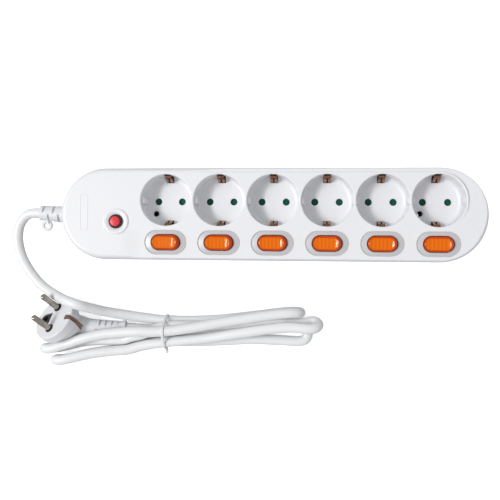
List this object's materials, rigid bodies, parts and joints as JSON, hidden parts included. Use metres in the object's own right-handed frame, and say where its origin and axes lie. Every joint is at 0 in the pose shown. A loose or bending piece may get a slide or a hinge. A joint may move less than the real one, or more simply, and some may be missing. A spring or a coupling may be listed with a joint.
{
  "type": "switched power strip",
  "caption": "Long round-ended power strip with recessed earthed sockets, a lit rocker switch for each, a reset breaker, and a tied lead with an angled plug.",
  "frame": {"origin": "centre of the housing footprint, on its underside", "axes": "+Z out of the sockets, +X along the strip away from the lead, +Y towards the socket side"},
  "size_m": [0.377, 0.1588, 0.0443],
  "materials": {
    "white_housing_plastic": "satin white, faintly cool, fine moulded surface",
    "grey_bezel_plastic": "light grey, satin",
    "orange_rocker_plastic": "glossy translucent orange-red",
    "green_shutter_plastic": "dark green, satin",
    "black_breaker_plastic": "black, matte",
    "black_insert_plastic": "near black, matte",
    "red_button_plastic": "glossy red",
    "dark_insulating_plastic": "matte dark insulating moulding",
    "brass": "bright stamped sheet",
    "earth_bronze": "brown bronze spring sheet",
    "screw_steel": "zinc-plated",
    "lamp_glass": "clear glass with a warm glow",
    "white_boot_pvc": "soft white, matte",
    "white_plug_pvc": "soft white, matte",
    "white_cable_sheath": "soft white sheath, satin",
    "white_tie_plastic": "white, satin",
    "brown_wire": "brown insulation",
    "blue_wire": "blue insulation",
    "green_earth_wire": "green insulation, the yellow stripe left to the visual model",
    "nickel_pin": "nickel-plated brass"
  },
  "bodies": {
    "housing": {"top_cover": "white_housing_plastic", "base_shell": "white_housing_plastic", "contact_carrier": "dark_insulating_plastic", "neutral_busbar": "brass", "live_feed_busbar": "brass", "earth_busbar": "earth_bronze", "breaker_body": "black_breaker_plastic", "lead_boot": "white_boot_pvc", "cord_clamp": "dark_insulating_plastic", "power_cable": "white_cable_sheath", "twist_tie": "white_tie_plastic", "live_wire": "brown_wire", "neutral_wire": "blue_wire", "earth_wire": "green_earth_wire", "plug_body": "white_plug_pvc", "plug_pin_bridge": "black_insert_plastic", "plug_pin_live": "nickel_pin", "plug_pin_neutral": "nickel_pin", "plug_earth_contact": "earth_bronze", "cover_screw_1": "screw_steel", "cover_screw_2": "screw_steel", "cover_screw_3": "screw_steel", "cover_screw_4": "screw_steel", "live_contact_1": "brass", "switch_bezel_1": "grey_bezel_plastic", "live_contact_2": "brass", "switch_bezel_2": "grey_bezel_plastic", "live_contact_3": "brass", "switch_bezel_3": "grey_bezel_plastic", "live_contact_4": "brass", "switch_bezel_4": "grey_bezel_plastic", "live_contact_5": "brass", "switch_bezel_5": "grey_bezel_plastic", "live_contact_6": "brass", "switch_bezel_6": "grey_bezel_plastic"},
    "rocker_1_body": {"rocker_1": "orange_rocker_plastic", "neon_lamp_1": "lamp_glass"},
    "blade_1_body": {"switch_blade_1": "brass"},
    "shutter_1_body": {"socket_shutter_1": "green_shutter_plastic"},
    "rocker_2_body": {"rocker_2": "orange_rocker_plastic", "neon_lamp_2": "lamp_glass"},
    "blade_2_body": {"switch_blade_2": "brass"},
    "shutter_2_body": {"socket_shutter_2": "green_shutter_plastic"},
    "rocker_3_body": {"rocker_3": "orange_rocker_plastic", "neon_lamp_3": "lamp_glass"},
    "blade_3_body": {"switch_blade_3": "brass"},
    "shutter_3_body": {"socket_shutter_3": "green_shutter_plastic"},
    "rocker_4_body": {"rocker_4": "orange_rocker_plastic", "neon_lamp_4": "lamp_glass"},
    "blade_4_body": {"switch_blade_4": "brass"},
    "shutter_4_body": {"socket_shutter_4": "green_shutter_plastic"},
    "rocker_5_body": {"rocker_5": "orange_rocker_plastic", "neon_lamp_5": "lamp_glass"},
    "blade_5_body": {"switch_blade_5": "brass"},
    "shutter_5_body": {"socket_shutter_5": "green_shutter_plastic"},
    "rocker_6_body": {"rocker_6": "orange_rocker_plastic", "neon_lamp_6": "lamp_glass"},
    "blade_6_body": {"switch_blade_6": "brass"},
    "shutter_6_body": {"socket_shutter_6": "green_shutter_plastic"},
    "reset_button_body": {"breaker_reset_button": "red_button_plastic"}
  },
  "joints": [
    {"name": "rocker_1", "type": "hinge", "parent": "housing", "child": "rocker_1_body", "pos_m": [-0.0795, -0.02204, 0.03772], "axis": [0, 0.9976, 0.0698], "range_deg": [0, 16]},
    {"name": "blade_1", "type": "hinge", "parent": "housing", "child": "blade_1_body", "pos_m": [-0.0795, -0.0214, 0.02845], "axis": [0, 0.9976, 0.0698], "range_deg": [-12.8, 0]},
    {"name": "shutter_1", "type": "hinge", "parent": "housing", "child": "shutter_1_body", "pos_m": [-0.0795, 0.0104, 0.0186], "axis": [0, 0, 1], "range_deg": [0, 38]},
    {"name": "rocker_2", "type": "hinge", "parent": "housing", "child": "rocker_2_body", "pos_m": [-0.0383, -0.02204, 0.03772], "axis": [0, 0.9976, 0.0698], "range_deg": [0, 16]},
    {"name": "blade_2", "type": "hinge", "parent": "housing", "child": "blade_2_body", "pos_m": [-0.0383, -0.0214, 0.02845], "axis": [0, 0.9976, 0.0698], "range_deg": [-12.8, 0]},
    {"name": "shutter_2", "type": "hinge", "parent": "housing", "child": "shutter_2_body", "pos_m": [-0.0383, 0.0104, 0.0186], "axis": [0, 0, 1], "range_deg": [0, 38]},
    {"name": "rocker_3", "type": "hinge", "parent": "housing", "child": "rocker_3_body", "pos_m": [0.0029, -0.02204, 0.03772], "axis": [0, 0.9976, 0.0698], "range_deg": [0, 16]},
    {"name": "blade_3", "type": "hinge", "parent": "housing", "child": "blade_3_body", "pos_m": [0.0029, -0.0214, 0.02845], "axis": [0, 0.9976, 0.0698], "range_deg": [-12.8, 0]},
    {"name": "shutter_3", "type": "hinge", "parent": "housing", "child": "shutter_3_body", "pos_m": [0.0029, 0.0104, 0.0186], "axis": [0, 0, 1], "range_deg": [0, 38]},
    {"name": "rocker_4", "type": "hinge", "parent": "housing", "child": "rocker_4_body", "pos_m": [0.0441, -0.02204, 0.03772], "axis": [0, 0.9976, 0.0698], "range_deg": [0, 16]},
    {"name": "blade_4", "type": "hinge", "parent": "housing", "child": "blade_4_body", "pos_m": [0.0441, -0.0214, 0.02845], "axis": [0, 0.9976, 0.0698], "range_deg": [-12.8, 0]},
    {"name": "shutter_4", "type": "hinge", "parent": "housing", "child": "shutter_4_body", "pos_m": [0.0441, 0.0104, 0.0186], "axis": [0, 0, 1], "range_deg": [0, 38]},
    {"name": "rocker_5", "type": "hinge", "parent": "housing", "child": "rocker_5_body", "pos_m": [0.0853, -0.02204, 0.03772], "axis": [0, 0.9976, 0.0698], "range_deg": [0, 16]},
    {"name": "blade_5", "type": "hinge", "parent": "housing", "child": "blade_5_body", "pos_m": [0.0853, -0.0214, 0.02845], "axis": [0, 0.9976, 0.0698], "range_deg": [-12.8, 0]},
    {"name": "shutter_5", "type": "hinge", "parent": "housing", "child": "shutter_5_body", "pos_m": [0.0853, 0.0104, 0.0186], "axis": [0, 0, 1], "range_deg": [0, 38]},
    {"name": "rocker_6", "type": "hinge", "parent": "housing", "child": "rocker_6_body", "pos_m": [0.1265, -0.02204, 0.03772], "axis": [0, 0.9976, 0.0698], "range_deg": [0, 16]},
    {"name": "blade_6", "type": "hinge", "parent": "housing", "child": "blade_6_body", "pos_m": [0.1265, -0.0214, 0.02845], "axis": [0, 0.9976, 0.0698], "range_deg": [-12.8, 0]},
    {"name": "shutter_6", "type": "hinge", "parent": "housing", "child": "shutter_6_body", "pos_m": [0.1265, 0.0104, 0.0186], "axis": [0, 0, 1], "range_deg": [0, 38]},
    {"name": "reset_button", "type": "slide", "parent": "housing", "child": "reset_button_body", "axis": [0, 0, 1], "range_m": [-0.0008, 0.0035]}
  ],
  "couplings": [
    {"joint": "blade_1", "follows": "rocker_1", "ratio": -0.8},
    {"joint": "blade_2", "follows": "rocker_2", "ratio": -0.8},
    {"joint": "blade_3", "follows": "rocker_3", "ratio": -0.8},
    {"joint": "blade_4", "follows": "rocker_4", "ratio": -0.8},
    {"joint": "blade_5", "follows": "rocker_5", "ratio": -0.8},
    {"joint": "blade_6", "follows": "rocker_6", "ratio": -0.8}
  ]
}
